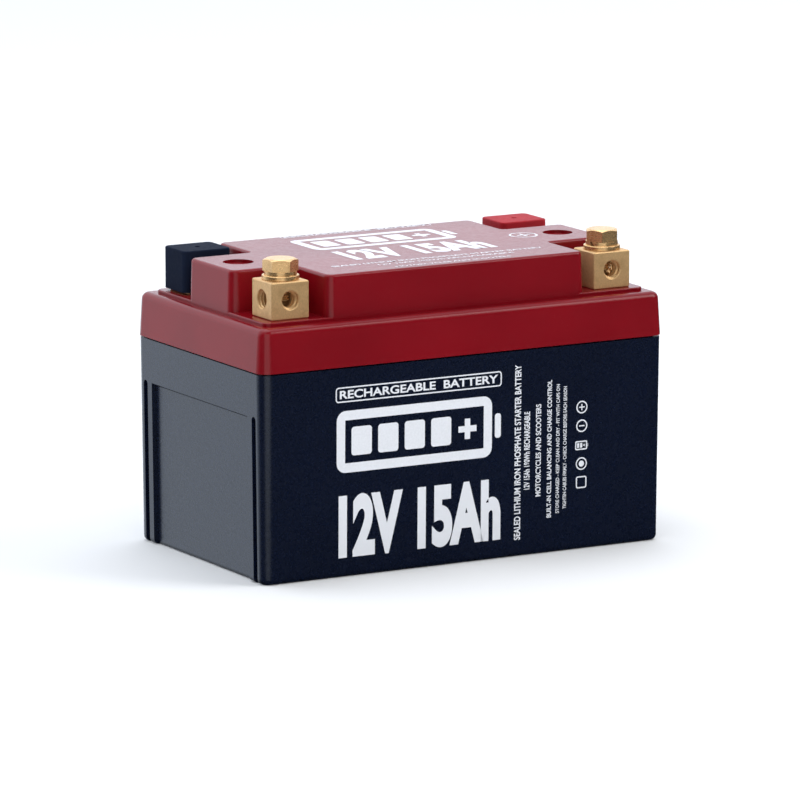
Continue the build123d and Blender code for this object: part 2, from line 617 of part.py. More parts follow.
def balance_leads():
    """Five thin wires from the plug to the ends of the four cells, along routes of free points."""
    start_x, above = SOCKET_X - PLUG_OUT, PLUG_Z
    crossing, below = TRAY_TOP_Z + 0.75, TRAY_TOP_Z + 1.6
    ear = EAR_TOP_Z + THIN_LEAD_R
    pins = [SOCKET_PITCH * (i - (PIN_COUNT - 1) / 2) for i in range(PIN_COUNT)]
    wires = []
    for pin, y in ((0, -SENSE_Y), (2, 1.0), (4, SENSE_Y)):
        wires.append(lead(
            THIN_LEAD_R, (start_x, pins[pin], above), (start_x - 5, pins[pin], above),
            (start_x - 7, pins[pin], 79.5), (start_x - 9, (pins[pin] + y) / 2, crossing),
            (-53, y, crossing), (-61, y, crossing), (-67.5, y, ear)))
    for pin, row in ((1, FRONT), (3, REAR)):
        y = pins[pin]
        wires.append(lead(
            THIN_LEAD_R, (start_x, y, above), (start_x - 4.5, y, above), (start_x - 5.5, y, 80.5),
            (start_x - 3, y, below), (-26, y, below), (0, row * 4, below), (26, row * 6, below),
            (44, row * 10, below), (57, row * 15, below), (67, row * POLE_Y, ear)))
    return group(wires)


def thermistor():
    """A bead in the valley between the upper cells, with its stem up to the board."""
    reach = CELL_R + THERMISTOR_R
    bead_z = HIGH_CELL_Z + math.sqrt(reach**2 - POLE_Y**2) + 0.1
    bead = Pos(THERMISTOR_X, 0, bead_z) * Sphere(THERMISTOR_R)
    stem = Pos(THERMISTOR_X, 0, (bead_z + BOARD_Z) / 2) * Cylinder(THIN_LEAD_R, BOARD_Z - bead_z)
    return bead + stem


# ---- All nodes -------------------------------------------------------------------------

def nodes():
    made = {
        "case": case(),
        "lid": lid(),
        "lid_seal": lid_seal(),
        "terminal_seals": terminal_seals(),
        "terminal_nuts": terminal_nuts(),
        "negative_link": terminal_link(LEFT),
        "positive_link": terminal_link(RIGHT),
        "rear_left_cap": rear_cap(LEFT),
        "rear_right_cap": rear_cap(RIGHT),
    }
    for name, (side, row) in CORNERS.items():
        made[name + "_terminal"] = terminal(side, row)
        if row == FRONT:
            place = Pos(side * BLOCK_X, row * BLOCK_Y, 0)
            made[name + "_flat_washer"] = place * flat_washer()
            made[name + "_spring_washer"] = place * spring_washer(SLIT_TURNS[name])
            made[name + "_bolt"] = place * bolt(HEX_TURN[name + "_bolt"])
    for name, place in CELL_PLACES.items():
        made[name] = cell(*place)
    made.update({
        "left_cell_holder": cell_holder(LEFT),
        "right_cell_holder": cell_holder(RIGHT),
        "pack_negative_tab": pack_tab(FRONT),
        "pack_positive_tab": pack_tab(REAR),
        "cell_link_1_2": upright_link(FRONT),
        "cell_link_2_3": cross_link(),
        "cell_link_3_4": upright_link(REAR),
        "left_end_insulator": end_insulator(LEFT),
        "right_end_insulator": end_insulator(RIGHT),
        "base_pad": base_pad(),
        "cell_straps": cell_straps(),
        "board_tray": board_tray(),
        "tray_screws": group([screw(x, y, TRAY_TOP_Z) for x, y in screw_places(*TRAY_SCREW)]),
        "management_board": management_board(),
        "board_screws": group([screw(x, y, BOARD_TOP_Z) for x, y in screw_places(*BOARD_SCREW)]),
        "board_transistors": board_transistors(),
        "heat_spreader": heat_spreader(),
        "balance_socket": balance_socket(),
        "balance_plug": balance_plug(),
        "balance_leads": balance_leads(),
        "positive_lead": positive_lead(),
        "negative_lead": negative_lead(),
        "output_lead": output_lead(),
        "thermistor": thermistor(),
    })
    return made


if __name__ == "__main__":
    os.makedirs("parts", exist_ok=True)
    for name, shape in nodes().items():
        export_step(shape, f"parts/{name}.step")
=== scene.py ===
"""Looks of the four-terminal motorcycle battery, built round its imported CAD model.

Everything is in metres in the row frame: +X along the battery, -Y the printed front, +Z up.
"""

import math

import bpy
from mathutils import Matrix, Vector


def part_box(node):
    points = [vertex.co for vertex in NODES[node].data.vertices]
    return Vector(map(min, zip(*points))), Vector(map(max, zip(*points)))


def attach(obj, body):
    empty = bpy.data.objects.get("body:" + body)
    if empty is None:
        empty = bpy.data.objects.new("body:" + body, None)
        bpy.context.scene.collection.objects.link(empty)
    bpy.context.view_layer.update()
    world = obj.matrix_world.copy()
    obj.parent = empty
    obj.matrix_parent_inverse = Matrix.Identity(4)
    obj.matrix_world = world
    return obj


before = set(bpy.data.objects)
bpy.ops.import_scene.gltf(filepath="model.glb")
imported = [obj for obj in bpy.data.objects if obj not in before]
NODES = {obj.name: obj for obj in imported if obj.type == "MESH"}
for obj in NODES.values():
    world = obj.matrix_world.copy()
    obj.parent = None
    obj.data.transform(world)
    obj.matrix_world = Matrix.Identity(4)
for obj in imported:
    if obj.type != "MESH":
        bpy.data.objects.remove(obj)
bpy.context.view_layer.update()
MM = 0.001

# The camera, from the photograph's perspective
AZIMUTH, ELEVATION = math.radians(-29.549), math.radians(10.709)
CAMERA_DISTANCE = 2.168
CAMERA_LENS, CAMERA_SENSOR = 297.1, 36
CAMERA_TARGET = Vector((0, 0, 0.046723))

# The case's drafted front wall, which carries the print
FRONT_FOOT_Y = -42.65 * MM
FRONT_DRAFT = math.radians(0.565)
PRINT_PROUD = 0.03 * MM
INK_THICKNESS = 0.02 * MM

# The metric thread of the terminals and of the two bolts
THREAD_PITCH = 1.0 * MM
HOLE_ROOT_R, HOLE_CREST_R = 3.01 * MM, 2.55 * MM
BOLT_ROOT_R, BOLT_CREST_R = 2.37 * MM, 2.92 * MM
BORE_FROM_BLOCK_TOP = 6.0 * MM
BORE_CHAMFER = 0.3 * MM
SIDE_TAPPED, TOP_TAPPED = 3.4 * MM, 10.2 * MM
SIDE_DRILL_R = 2.5 * MM
BOLT_THREAD_LENGTH = 9.6 * MM

# The surroundings' brightness before the battery and behind it
WORLD_DIM, WORLD_BRIGHT = 0.02, 1.42
WORLD_TINT = (0.93, 1.0, 1.1)
# The direction of the brightest part, and the cosines to it between which the light rises
WORLD_BRIGHTEST = Vector((-0.1, 0.8, 0.75)).normalized()
WORLD_RISE = (0.1, 0.8)

# Dust on the mouldings, and the slow waves of a moulded wall
DUST_TONE = (0.5, 0.47, 0.46)
DUST_CELLS, DUST_SIZE = 1100, 0.09
WALL_WAVES, WALL_WAVE_DEPTH = 45, 0.02 * MM

# The print's words, and how far each kind's letters are thickened
TITLE = "RECHARGEABLE  BATTERY"
RATING = "12V 15Ah"
KIND_LINE = "SEALED LITHIUM IRON PHOSPHATE STARTER BATTERY"
RATING_LINE = "12V 15Ah 180Wh RECHARGEABLE"
USE_LINE = "MOTORCYCLES AND SCOOTERS"
RATING_WEIGHT, PRINT_WEIGHT, LIGHT_WEIGHT, FINE_WEIGHT = 0.05, 0.024, 0.022, 0.014

# The drawn marks, in mm: the battery's line and bars, and the front's column of icons
MARK_LINE, MARK_BARS = 3.1, 4
ICON_X, ICON_R, ICON_LINE = 43.7, 2.1, 0.42


# ---------------------------------------------------------------- node helpers


class Nodes:
    """A material's node tree, with short calls for the nodes that the surfaces share."""

    def __init__(self, name):
        self.material = bpy.data.materials.new(name)
        self.material.use_nodes = True
        self.tree = self.material.node_tree
        self.shader = next(n for n in self.tree.nodes if n.type == "BSDF_PRINCIPLED")

    def add(self, kind, **settings):
        node = self.tree.nodes.new(kind)
        for name, value in settings.items():
            setattr(node, name, value)
        return node

    def link(self, output, target):
        self.tree.links.new(output, target)

    def place(self, stretch=(1, 1, 1)):
        """The object's own coordinates in metres, stretched along its axes."""
        mapping = self.add("ShaderNodeMapping")
        mapping.inputs["Scale"].default_value = stretch
        self.link(self.add("ShaderNodeTexCoord").outputs["Object"], mapping.inputs["Vector"])
        return mapping.outputs["Vector"]

    def noise(self, scale, detail=3.0, stretch=(1, 1, 1)):
        node = self.add("ShaderNodeTexNoise")
        node.inputs["Scale"].default_value = scale
        node.inputs["Detail"].default_value = detail
        self.link(self.place(stretch), node.inputs["Vector"])
        return node.outputs["Fac"]

    def specks(self, scale, size):
        """1 on small round spots of that share of a cell, 0 between them."""
        cells = self.add("ShaderNodeTexVoronoi")
        cells.inputs["Scale"].default_value = scale
        self.link(self.place(), cells.inputs["Vector"])
        edge = self.add("ShaderNodeMapRange")
        edge.inputs["From Min"].default_value = size
        edge.inputs["From Max"].default_value = size * 0.6
        self.link(cells.outputs["Distance"], edge.inputs["Value"])
        return edge.outputs["Result"]

    def span(self, value, low, high, from_low=0.3, from_high=0.7):
        """A value between low and high as the input goes from from_low to from_high."""
        node = self.add("ShaderNodeMapRange")
        node.inputs["From Min"].default_value = from_low
        node.inputs["From Max"].default_value = from_high
        node.inputs["To Min"].default_value = low
        node.inputs["To Max"].default_value = high
        self.link(value, node.inputs["Value"])
        return node.outputs["Result"]

    def mix(self, factor, first, second):
        node = self.add("ShaderNodeMix", data_type="RGBA")
        self.link(factor, node.inputs["Factor"])
        for value, socket in ((first, node.inputs[6]), (second, node.inputs[7])):
            if isinstance(value, bpy.types.NodeSocket):
                self.link(value, socket)
            else:
                socket.default_value = (*value, 1)
        return node.outputs[2]

    def multiply(self, first, second):
        node = self.add("ShaderNodeMath", operation="MULTIPLY")
        self.link(first, node.inputs[0])
        if isinstance(second, bpy.types.NodeSocket):
            self.link(second, node.inputs[1])
        else:
            node.inputs[1].default_value = second
        return node.outputs[0]

    def bump(self, height, depth, strength=1.0):
        """Adds a relief of that depth in metres to the surface, over any there already."""
        node = self.add("ShaderNodeBump")
        node.inputs["Distance"].default_value = depth
        node.inputs["Strength"].default_value = strength
        self.link(height, node.inputs["Height"])
        normal = self.shader.inputs["Normal"]
        if normal.links:
            self.link(normal.links[0].from_socket, node.inputs["Normal"])
        self.link(node.outputs["Normal"], normal)

    def set(self, **values):
        for name, value in values.items():
            socket = self.shader.inputs[name.replace("_", " ")]
            if isinstance(value, bpy.types.NodeSocket):
                self.link(value, socket)
            elif isinstance(value, tuple):
                socket.default_value = (*value, 1)
            else:
                socket.default_value = value
        return self


def shade(colour, share):
    """The colour, lightened or darkened by that share."""
    return tuple(c * share for c in colour)


# ---------------------------------------------------------------- materials


def moulded_plastic(name, colour, roughness, grain_scale, grain_depth, specular, dust=0.0, ior=1.5,
                    tint=(1.0, 1.0, 1.0)):
    """Moulded plastic: faint flow clouds, fine spark-eroded grain, a little dust."""
    m = Nodes(name)
    clouds = m.noise(28, 4)
    tone = m.mix(m.span(clouds, 0, 1), shade(colour, 0.9), shade(colour, 1.1))
    if dust:
        sparse = m.span(m.noise(60, 3), 0, dust, 0.5, 0.7)
        tone = m.mix(m.multiply(m.specks(DUST_CELLS, DUST_SIZE), sparse), tone, DUST_TONE)
    m.set(Base_Color=tone, Specular_IOR_Level=specular, IOR=ior, Specular_Tint=tint)
    m.set(Roughness=m.span(m.noise(grain_scale * 0.4, 5), roughness - 0.03, roughness + 0.04))
    m.bump(m.noise(grain_scale, 2), grain_depth)
    m.bump(m.noise(WALL_WAVES, 1), WALL_WAVE_DEPTH, 0.6)
    return m.material


def metal(name, colour, roughness, grain_scale, grain_depth, stretch=(1, 1, 1), tarnish=None, bare=1.0):
    """Metal with a directional grain and, if asked, tarnished patches and a dull film over it."""
    m = Nodes(name)
    grain = m.noise(grain_scale, 4, stretch)
    tone = m.mix(m.span(grain, 0, 1), shade(colour, 0.86), shade(colour, 1.08))
    if tarnish:
        tone = m.mix(m.span(m.noise(260, 5), 0, 0.55, 0.5, 0.72), tone, tarnish)
    m.set(Base_Color=tone, Metallic=bare)
    m.set(Roughness=m.span(m.noise(grain_scale * 0.7, 3, stretch), roughness - 0.07, roughness + 0.07))
    m.bump(grain, grain_depth)
    return m.material


def soft_vinyl(name, colour, specular):
    """Dip-moulded vinyl: matt, slightly bloomed, with a soft grain."""
    m = Nodes(name)
    bloom = m.span(m.noise(160, 6), 0, 0.35, 0.45, 0.75)
    m.set(Base_Color=m.mix(bloom, colour, shade(colour, 1.5)), Specular_IOR_Level=specular)
    m.set(Roughness=m.span(m.noise(900, 3), 0.62, 0.76))
    m.bump(m.noise(2200, 2), 0.012 * MM)
    m.bump(m.noise(150, 2), 0.05 * MM, 0.6)
    return m.material


def foam(name, colour):
    """Closed-cell foam, with painted shade making each pore darker towards its hollow."""
    m = Nodes(name)
    cells = m.add("ShaderNodeTexVoronoi")
    cells.inputs["Scale"].default_value = 1500
    m.link(m.place(), cells.inputs["Vector"])
    pore_depth_and_shade = cells.outputs["Distance"]
    # Painted shade: the colour darkens towards each pore's sunken centre and lightens towards its rim.
    m.set(Base_Color=m.mix(pore_depth_and_shade, shade(colour, 0.6), shade(colour, 1.5)), Roughness=0.92)
    m.bump(pore_depth_and_shade, 0.15 * MM)
    return m.material


def woven_tape(name, colour):
    """Glass-fibre tape: crossed strands under a clear film."""
    m = Nodes(name)
    weave = []
    for axis in ("X", "Z"):
        bands = m.add("ShaderNodeTexWave", bands_direction=axis)
        bands.inputs["Scale"].default_value = 320
        bands.inputs["Distortion"].default_value = 0.6
        m.link(m.place(), bands.inputs["Vector"])
        weave.append(bands.outputs["Fac"])
    cloth = m.multiply(weave[0], weave[1])
    m.set(Base_Color=m.mix(cloth, shade(colour, 0.7), shade(colour, 1.15)), Roughness=0.35)
    m.bump(cloth, 0.05 * MM)
    return m.material


def shrink_sleeve(name, colour):
    """Heat-shrunk cell sleeve: glossy, with faint tension lines round the can."""
    m = Nodes(name)
    lines = m.noise(90, 4, (9, 1, 1))
    m.set(Base_Color=m.mix(m.span(lines, 0, 1), shade(colour, 0.85), shade(colour, 1.12)))
    m.set(Roughness=m.span(m.noise(500, 3), 0.2, 0.32))
    m.bump(lines, 0.04 * MM)
    return m.material


def circuit_board(name, colour):
    """Solder mask with tracks showing through it as slightly lighter, raised lines."""
    m = Nodes(name)
    tracks = m.add("ShaderNodeTexBrick")
    tracks.inputs["Scale"].default_value = 130
    tracks.inputs["Mortar Size"].default_value = 0.035
    tracks.inputs["Mortar Smooth"].default_value = 0.3
    m.link(m.place(), tracks.inputs["Vector"])
    copper = tracks.outputs["Fac"]
    m.set(Base_Color=m.mix(copper, colour, (0.06, 0.3, 0.12)))
    m.set(Roughness=m.span(m.noise(700, 3), 0.24, 0.36))
    m.bump(copper, 0.04 * MM)
    return m.material


def barrier_paper(name, colour):
    """Electrical barrier paper: short fibres and a calendered surface."""
    m = Nodes(name)
    fibres = m.noise(700, 6, (4, 1, 1))
    m.set(Base_Color=m.mix(m.span(fibres, 0, 1), shade(colour, 0.8), shade(colour, 1.15)))
    m.set(Roughness=m.span(fibres, 0.62, 0.8))
    m.bump(fibres, 0.02 * MM)
    return m.material


def printing_ink(name, colour):
    """Screen-printed ink: almost even, with a slightly dry edge and pinholes."""
    m = Nodes(name)
    tone = m.mix(m.span(m.noise(1500, 4), 0, 1), shade(colour, 0.95), shade(colour, 1.03))
    m.set(Base_Color=tone, Specular_IOR_Level=0.35)
    m.set(Roughness=m.span(m.noise(800, 3), 0.4, 0.52))
    m.bump(m.noise(2600, 2), 0.006 * MM)
    return m.material


LIGHT_INK = printing_ink("white_ink", (0.78, 0.8, 0.84))
BRASS = (0.74, 0.48, 0.225)
TARNISH = (0.5, 0.29, 0.12)
MATERIALS = {
    "case": moulded_plastic(
        "navy_case_plastic", (0.0018, 0.0048, 0.019), 0.27, 1900, 0.006 * MM, 0.5,
        dust=0.07, ior=1.7, tint=(0.84, 0.92, 1.0),
    ),
    "lid": moulded_plastic(
        "red_lid_plastic", (0.2, 0.0025, 0.0075), 0.22, 1700, 0.004 * MM, 0.29, dust=0.13
    ),
    "seal": moulded_plastic("black_seal_rubber", (0.012, 0.012, 0.013), 0.7, 1200, 0.02 * MM, 0.3),
    "steel": metal("zinc_plated_steel", (0.62, 0.63, 0.64), 0.33, 900, 0.01 * MM),
    "copper": metal(
        "copper_bar", (0.8, 0.42, 0.26), 0.32, 500, 0.01 * MM, (1, 6, 6), (0.32, 0.15, 0.09)
    ),
    "cap_black": soft_vinyl("black_vinyl", (0.008, 0.0125, 0.028), 0.04),
    "cap_red": soft_vinyl("red_vinyl", (0.38, 0.0065, 0.016), 0.3),
    "brass_block": metal(
        "drawn_brass", BRASS, 0.48, 2600, 0.012 * MM, (1, 1, 0.5), TARNISH, bare=0.6
    ),
    "brass_bolt": metal(
        "formed_brass", shade(BRASS, 1.12), 0.3, 1300, 0.008 * MM, (1, 1, 3), TARNISH, bare=0.82
    ),
    "cell_can": shrink_sleeve("blue_cell_sleeve", (0.03, 0.12, 0.3)),
    "holder": moulded_plastic("black_holder_plastic", (0.02, 0.02, 0.021), 0.5, 1500, 0.02 * MM, 0.4),
    "nickel": metal("nickel_strip", (0.66, 0.61, 0.53), 0.3, 600, 0.008 * MM, (1, 8, 8)),
    "insulator": barrier_paper("green_barrier_paper", (0.09, 0.27, 0.12)),
    "foam": foam("grey_foam", (0.06, 0.06, 0.065)),
    "strap": woven_tape("glass_fibre_tape", (0.72, 0.66, 0.5)),
    "circuit_board": circuit_board("green_circuit_board", (0.012, 0.13, 0.045)),
    "chip": moulded_plastic("black_epoxy", (0.013, 0.013, 0.014), 0.48, 2500, 0.01 * MM, 0.4),
    "aluminium": metal("extruded_aluminium", (0.77, 0.78, 0.8), 0.34, 700, 0.01 * MM, (1, 12, 12)),
    "connector": moulded_plastic("ivory_nylon", (0.72, 0.68, 0.56), 0.42, 900, 0.01 * MM, 0.5),
    "thin_wire": moulded_plastic("grey_wire_sleeve", (0.45, 0.45, 0.47), 0.38, 900, 0.01 * MM, 0.5),
    "lead_red": moulded_plastic("red_silicone", (0.42, 0.012, 0.012), 0.5, 1300, 0.02 * MM, 0.45),
    "lead_black": moulded_plastic("black_silicone", (0.014, 0.014, 0.015), 0.5, 1300, 0.02 * MM, 0.45),
}


def dress_nodes():
    """Gives every CAD node the material of the record's slot that it was packed with."""
    for obj in NODES.values():
        for place in obj.material_slots:
            place.material = MATERIALS[place.material.name]


# ---------------------------------------------------------------- mesh helpers


def mesh_object(name, vertices, faces, material, body, smooth=True):
    mesh = bpy.data.meshes.new(name)
    mesh.from_pydata([tuple(v) for v in vertices], [], faces)
    mesh.polygons.foreach_set("use_smooth", [smooth] * len(mesh.polygons))
    mesh.materials.append(material)
    obj = bpy.data.objects.new(name, mesh)
    bpy.context.scene.collection.objects.link(obj)
    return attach(obj, body)


def axes_to(direction):
    """Rotation that turns +Z to a direction."""
    return Vector(direction).to_track_quat("Z", "Y").to_matrix().to_4x4()


def unbroken(kept):
    """The first and last index of every run of true values."""
    runs = []
    for index, keep in enumerate(kept):
        if keep and (index == 0 or not kept[index - 1]):
            runs.append([index, index])
        elif keep:
            runs[-1][1] = index
    return [run for run in runs if run[1] > run[0]]


def thread(name, mouth, outward, length, radii, slot, body, left_out=0.0, crossings=()):
    """One right-hand helical ridge, from the mouth inwards along a bore or a shank.

    Its radii are those of its root and crest. A crossing is the axis of a drilled hole, as a
    point and a direction, that cuts the ridge away.
    """
    steps_a_turn, end_turn = 28, 0.3
    half_root, half_crest = 0.46 * THREAD_PITCH, 0.09 * THREAD_PITCH
    root_r, crest_r = radii
    turns = (length - 2 * half_root - left_out) / THREAD_PITCH
    place = Matrix.Translation(mouth) @ axes_to(outward)
    rows, kept = [], []
    for step in range(int(turns * steps_a_turn) + 1):
        turn = step / steps_a_turn
        angle = -2 * math.pi * turn
        depth = -(left_out + half_root + turn * THREAD_PITCH)
        rise = min(1.0, turn / end_turn, (turns - turn) / end_turn)
        crest = root_r + (crest_r - root_r) * max(rise, 0.02)
        rows.append([
            place @ Vector((radius * math.cos(angle), radius * math.sin(angle), depth + along))
            for radius, along in (
                (root_r, -half_root),
                (crest, -half_crest),
                (crest, half_crest),
                (root_r, half_root),
            )
        ])
        middle = (rows[-1][0] + rows[-1][3]) / 2
        kept.append(all(
            (middle - point).cross(Vector(way)).length > SIDE_DRILL_R
            or (middle - point).dot(Vector(way)) < 0
            for point, way in crossings
        ))
    vertices, faces = [], []
    for first, last in unbroken(kept):
        start = len(vertices)
        for row in rows[first:last + 1]:
            vertices += row
        for step in range(last - first):
            for corner in range(3):
                a = start + step * 4 + corner
                faces.append((a, a + 4, a + 5, a + 1))
        end = start + 4 * (last - first)
        faces += [(start, start + 1, start + 2, start + 3), (end + 3, end + 2, end + 1, end)]
    if crest_r > root_r:
        faces = [face[::-1] for face in faces]
    obj = mesh_object(name, vertices, faces, MATERIALS[slot], body, smooth=False)
    return obj


# ---------------------------------------------------------------- threads


def block_middle(node):
    """The middle of a terminal's block in plan, with the block's top as its height."""
    low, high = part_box(node)
    return Vector(((low.x + high.x) / 2, (low.y + high.y) / 2, high.z))


def cut_threads():
    """Threads in the tapped holes of the four blocks, and on the two front bolts."""
    bore = (HOLE_ROOT_R, HOLE_CREST_R)
    for node in [n for n in NODES if n.endswith("_terminal")]:
        corner = node.removesuffix("_terminal")
        low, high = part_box(node)
        middle = block_middle(node)
        side = 1 if middle.x > 0 else -1
        front = -1 if middle.y < 0 else 1
        bore_z = high.z - BORE_FROM_BLOCK_TOP
        face = Vector((middle.x, high.y if front > 0 else low.y, bore_z))
        end = Vector((high.x if side > 0 else low.x, middle.y, bore_z))
        ways = {"face": (face, (0, front, 0)), "end": (end, (side, 0, 0))}
        for way, (mouth, outward) in ways.items():
            thread(f"{corner}_{way}_thread", mouth, outward, SIDE_TAPPED, bore, "brass_block",
                   "battery", BORE_CHAMFER)
        if corner.startswith("rear"):
            axis = Vector((middle.x, middle.y, bore_z))
            thread(f"{corner}_top_thread", middle, (0, 0, 1), TOP_TAPPED, bore, "brass_block",
                   "battery", BORE_CHAMFER, [(axis, outward) for _, outward in ways.values()])
    for bolt in ("front_left_bolt", "front_right_bolt"):
        low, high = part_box(bolt)
        tip = Vector(((low.x + high.x) / 2, (low.y + high.y) / 2, low.z))
        thread(f"{bolt}_thread", tip, (0, 0, -1), BOLT_THREAD_LENGTH, (BOLT_ROOT_R, BOLT_CREST_R),
               "brass_bolt", bolt)


# ---------------------------------------------------------------- print

FRONT = (
    Matrix.Translation((0, FRONT_FOOT_Y, 0))
    @ Matrix.Rotation(math.pi / 2 + FRONT_DRAFT, 4, "X")
    @ Matrix.Translation((0, 0, PRINT_PROUD))
)
LID_TOP = Matrix.Translation((0, 0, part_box("lid")[1].z + PRINT_PROUD))


def ink_piece(name, curve, place):
    """Turns a flat curve or text into a thin ink mesh on the surface of a placing matrix."""
    curve.extrude = INK_THICKNESS
    maker = bpy.data.objects.new(name + "_curve", curve)
    bpy.context.scene.collection.objects.link(maker)
    bpy.context.view_layer.update()
    evaluated = maker.evaluated_get(bpy.context.evaluated_depsgraph_get())
    mesh = bpy.data.meshes.new_from_object(evaluated)
    bpy.data.objects.remove(maker)
    mesh.name = name
    mesh.materials.clear()
    mesh.materials.append(LIGHT_INK)
    obj = bpy.data.objects.new(name, mesh)
    bpy.context.scene.collection.objects.link(obj)
    obj.matrix_world = place
    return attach(obj, "battery")


def words(name, text, box, place, bold=0.0, turned=False):
    """Words squeezed to fill a box (left, bottom, right, top) in mm; turned words read upwards."""
    curve = bpy.data.curves.new(name, "FONT")
    curve.body = text
    curve.offset = bold
    curve.size = 1.0
    maker = bpy.data.objects.new(name + "_size", curve)
    bpy.context.scene.collection.objects.link(maker)
    bpy.context.view_layer.update()
    corners = [Vector(c) for c in maker.bound_box]
    low = Vector((min(c.x for c in corners), min(c.y for c in corners), 0))
    high = Vector((max(c.x for c in corners), max(c.y for c in corners), 0))
    bpy.data.objects.remove(maker)
    left, bottom, right, top = (side * MM for side in box)
    wide, tall = (top - bottom, right - left) if turned else (right - left, top - bottom)
    stretch = Matrix.Diagonal((wide / (high.x - low.x), tall / (high.y - low.y), 1, 1))
    fitted = stretch @ Matrix.Translation(-low)
    if turned:
        quarter_turn = Matrix.Rotation(math.pi / 2, 4, "Z")
        fitted = Matrix.Translation((right, bottom, 0)) @ quarter_turn @ fitted
    else:
        fitted = Matrix.Translation((left, bottom, 0)) @ fitted
    return ink_piece(name, curve, place @ fitted)


def rounded_corners(box, radius, segments=6):
    """The corner points of a rounded rectangle, in mm."""
    left, bottom, right, top = box
    points = []
    for x, y, start in (
        (right - radius, bottom + radius, -90),
        (right - radius, top - radius, 0),
        (left + radius, top - radius, 90),
        (left + radius, bottom + radius, 180),
    ):
        for i in range(segments + 1):
            angle = math.radians(start + 90 * i / segments)
            points.append((x + radius * math.cos(angle), y + radius * math.sin(angle)))
    return points


def circle(x, y, radius, count=48):
    steps = [2 * math.pi * i / count for i in range(count)]
    return [(x + radius * math.cos(a), y + radius * math.sin(a)) for a in steps]


def plus_outline(x, y, arm, half):
    """A plus sign's twelve corners."""
    quarter = [(arm, -half), (arm, half), (half, half)]
    points = []
    for turn in range(4):
        c, s = math.cos(turn * math.pi / 2), math.sin(turn * math.pi / 2)
        points += [(x + px * c - py * s, y + px * s + py * c) for px, py in quarter]
    return points


def outlines(name, loops, place):
    """Closed outlines in mm filled as ink; a loop inside another is a hole in it."""
    curve = bpy.data.curves.new(name, "CURVE")
    curve.dimensions = "2D"
    curve.fill_mode = "BOTH"
    for loop in loops:
        spline = curve.splines.new("POLY")
        spline.points.add(len(loop) - 1)
        for point, (x, y) in zip(spline.points, loop):
            point.co = (x * MM, y * MM, 0, 1)
        spline.use_cyclic_u = True
    return ink_piece(name, curve, place)


def frame_line(box, radius, line):
    """A rounded rectangle's outline and the hole inside it."""
    left, bottom, right, top = box
    inner = (left + line, bottom + line, right - line, top - line)
    return [rounded_corners(box, radius), rounded_corners(inner, max(radius - line, 0.1))]


def battery_mark(name, box, place, line, bars):
    """A plain battery symbol: an outline with a terminal nub, charge bars and a plus sign."""
    left, bottom, right, top = box
    tall = top - bottom
    nub = 0.055 * (right - left)
    shell = (left, bottom, right - nub, top)
    loops = frame_line(shell, 0.16 * tall, line)
    nub_box = (right - nub + 0.35 * line, bottom + 0.3 * tall, right, top - 0.3 * tall)
    loops.append(rounded_corners(nub_box, min(0.3 * nub, 0.9)))
    gap = 0.75 * line
    inside_left, inside_right = left + line + gap, right - nub - line - gap
    pitch = (inside_right - inside_left + gap) / (bars + 1)
    for bar in range(bars):
        start = inside_left + bar * pitch
        bar_box = (start, bottom + line + gap, start + pitch - gap, top - line - gap)
        loops.append(rounded_corners(bar_box, 0.05 * tall))
    middle = inside_left + (bars + 0.5) * pitch - gap / 2
    arm = 0.36 * min(pitch, tall - 2 * line - 2 * gap)
    loops.append(plus_outline(middle, (bottom + top) / 2, arm, 0.3 * arm))
    return outlines(name, loops, place)


def polarity_ring(name, x, y, place, positive, radius=4.85, line=0.7):
    """A plus or minus sign in a ring."""
    loops = [circle(x, y, radius), circle(x, y, radius - line)]
    arm, half = 0.5 * radius, 0.085 * radius
    if positive:
        loops.append(plus_outline(x, y, arm, half))
    else:
        loops.append(rounded_corners((x - arm, y - half, x + arm, y + half), 0.1))
    return outlines(name, loops, place)


def print_front():
    """The print on the front wall; every height is measured up the wall from the foot."""
    outlines("front_name_frame", frame_line((-48.1, 57.2, 13.3, 62.2), 1.1, 0.42), FRONT)
    words("front_name", TITLE, (-46.6, 58.35, 11.9, 61.1), FRONT, PRINT_WEIGHT)
    battery_mark("front_mark", (-47.7, 34.2, 13.1, 54.4), FRONT, MARK_LINE, MARK_BARS)
    words("front_rating", RATING, (-46.9, 6.2, 13.2, 27), FRONT, RATING_WEIGHT)
    columns = (
        (KIND_LINE, 18.3, 5.6, 20.7, 63.6, PRINT_WEIGHT),
        (RATING_LINE, 21.9, 22, 24.1, 47.8, PRINT_WEIGHT),
        (USE_LINE, 26.3, 19.3, 28.3, 49.9, LIGHT_WEIGHT),
        ("BUILT-IN CELL BALANCING AND CHARGE CONTROL", 30.6, 11.8, 32.3, 57.5, PRINT_WEIGHT),
        ("STORE CHARGED - KEEP CLEAN AND DRY - FIT WITH CAPS ON", 34.0, 13, 35.3, 55.8, FINE_WEIGHT),
        ("TIGHTEN CABLES FIRMLY - CHECK CHARGE BEFORE EACH SEASON", 36.7, 14.2, 38.0, 54.9, FINE_WEIGHT),
    )
    for number, (text, left, bottom, right, top, bold) in enumerate(columns, 1):
        words(f"front_column_{number}", text, (left, bottom, right, top), FRONT, bold, turned=True)
    polarity_ring("front_icon_plus", ICON_X, 47.4, FRONT, True, ICON_R, ICON_LINE)
    polarity_ring("front_icon_minus", ICON_X, 41.2, FRONT, False, ICON_R, ICON_LINE)
    battery_mark("front_icon_cell", (ICON_X - 2.4, 33.2, ICON_X + 2.4, 36.2), FRONT, ICON_LINE, 2)
    rings = [circle(ICON_X, 28.6, radius) for radius in (ICON_R, 1.7, 1)]
    outlines("front_icon_rings", rings, FRONT)
    tile = frame_line((ICON_X - 2, 20.4, ICON_X + 2, 24.4), 0.7, ICON_LINE)
    outlines("front_icon_tile", tile, FRONT)


